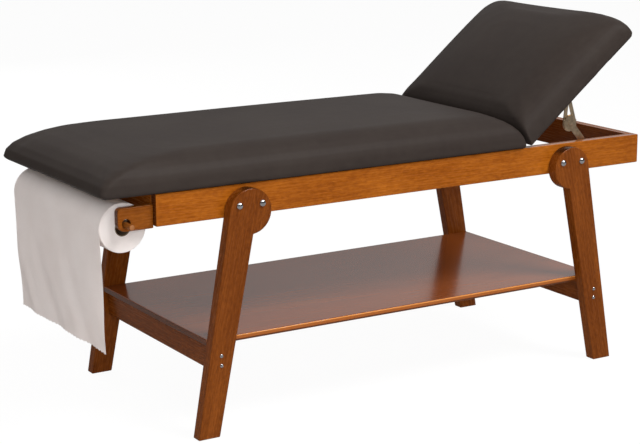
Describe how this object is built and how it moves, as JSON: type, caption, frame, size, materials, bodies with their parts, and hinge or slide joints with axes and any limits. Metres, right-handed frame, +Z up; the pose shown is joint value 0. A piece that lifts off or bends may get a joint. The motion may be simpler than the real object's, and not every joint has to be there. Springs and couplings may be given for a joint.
{
  "type": "massage table",
  "caption": "Wooden massage table with a padded top, a backrest lifted on folding ratchet stays, splayed round-headed legs, a low shelf and a couch-roll holder with hanging paper.",
  "frame": {"origin": "on the floor, under the middle of the table's outline", "axes": "+X along the length towards the head end with the lifting backrest, +Y across the width, +Z up"},
  "size_m": [1.868, 0.7706, 1.0928],
  "materials": {
    "rail_wood": "orange-brown stained timber under satin varnish",
    "leg_wood": "red-brown stained timber under satin varnish",
    "dowel_wood": "stained dowel with a paler end grain",
    "shelf_plywood": "glossy varnished plywood with a paler edge",
    "board_plywood": "bare plywood",
    "leatherette": "charcoal-brown leatherette with a soft sheen",
    "chrome": "polished",
    "plated_steel": "zinc plated, slightly yellowed",
    "paper": "white tissue paper",
    "cardboard": "grey-brown cardboard"
  },
  "bodies": {
    "frame": {"side_rail_near": "rail_wood", "side_rail_far": "rail_wood", "end_rail_foot": "rail_wood", "end_rail_head": "rail_wood", "leg_foot_near": "leg_wood", "leg_foot_far": "leg_wood", "leg_head_near": "leg_wood", "leg_head_far": "leg_wood", "leg_bolt_foot_near_left": "chrome", "leg_bolt_foot_near_right": "chrome", "leg_bolt_foot_far_left": "chrome", "leg_bolt_foot_far_right": "chrome", "leg_bolt_head_near_left": "chrome", "leg_bolt_head_near_right": "chrome", "leg_bolt_head_far_left": "chrome", "leg_bolt_head_far_right": "chrome", "stretcher_foot": "leg_wood", "stretcher_head": "leg_wood", "stretcher_screw_foot_near_upper": "chrome", "stretcher_screw_foot_near_lower": "chrome", "stretcher_screw_foot_far_upper": "chrome", "stretcher_screw_foot_far_lower": "chrome", "stretcher_screw_head_near_upper": "chrome", "stretcher_screw_head_near_lower": "chrome", "stretcher_screw_head_far_upper": "chrome", "stretcher_screw_head_far_lower": "chrome", "shelf": "shelf_plywood", "main_cushion": "leatherette", "main_board": "board_plywood", "hinge_fixed_leaf_near": "plated_steel", "hinge_fixed_leaf_far": "plated_steel", "hinge_pin_near": "plated_steel", "hinge_pin_far": "plated_steel", "stay_foot_plate_near": "plated_steel", "stay_foot_plate_far": "plated_steel", "holder_arm_near": "rail_wood", "holder_arm_far": "rail_wood", "paper_sheet": "paper"},
    "backrest": {"backrest_cushion": "leatherette", "backrest_board": "board_plywood", "hinge_moving_leaf_near": "plated_steel", "hinge_moving_leaf_far": "plated_steel", "stay_back_bracket_near": "plated_steel", "stay_back_bracket_far": "plated_steel"},
    "stay_lower_near": {"stay_lower_arm_near": "plated_steel"},
    "stay_lower_far": {"stay_lower_arm_far": "plated_steel"},
    "stay_upper_near": {"stay_upper_arm_near": "plated_steel", "stay_knee_rivet_near": "plated_steel"},
    "stay_upper_far": {"stay_upper_arm_far": "plated_steel", "stay_knee_rivet_far": "plated_steel"},
    "roll": {"paper_roll": "paper", "roll_core": "cardboard"},
    "dowel": {"holder_dowel": "dowel_wood"}
  },
  "joints": [
    {"name": "backrest_lift", "type": "hinge", "parent": "frame", "child": "backrest", "pos_m": [0.489, 0, 0.7273], "axis": [0, -1, 0], "range_deg": [-38.5, 0]},
    {"name": "stay_lower_turn_near", "type": "hinge", "parent": "frame", "child": "stay_lower_near", "pos_m": [0.769, -0.3059, 0.662], "axis": [0, -1, 0], "range_deg": [0, 52]},
    {"name": "stay_lower_turn_far", "type": "hinge", "parent": "frame", "child": "stay_lower_far", "pos_m": [0.769, 0.3059, 0.662], "axis": [0, -1, 0], "range_deg": [0, 52]},
    {"name": "stay_upper_turn_near", "type": "hinge", "parent": "backrest", "child": "stay_upper_near", "pos_m": [0.6767, -0.3026, 0.83188], "axis": [0, -1, 0], "range_deg": [-26.4, 0]},
    {"name": "stay_upper_turn_far", "type": "hinge", "parent": "backrest", "child": "stay_upper_far", "pos_m": [0.6767, 0.3026, 0.83188], "axis": [0, -1, 0], "range_deg": [-26.4, 0]},
    {"name": "roll_spin", "type": "hinge", "parent": "frame", "child": "roll", "pos_m": [-0.847, 0, 0.6168], "axis": [0, -1, 0], "continuous": true},
    {"name": "dowel_draw", "type": "slide", "parent": "frame", "child": "dowel", "axis": [0, -1, 0], "range_m": [0, 0.055]}
  ],
  "couplings": [
    {"joint": "stay_lower_turn_near", "follows": "backrest_lift", "ratio": -1.3504},
    {"joint": "stay_lower_turn_far", "follows": "backrest_lift", "ratio": -1.3504},
    {"joint": "stay_upper_turn_near", "follows": "backrest_lift", "ratio": 0.68534},
    {"joint": "stay_upper_turn_far", "follows": "backrest_lift", "ratio": 0.68534}
  ]
}
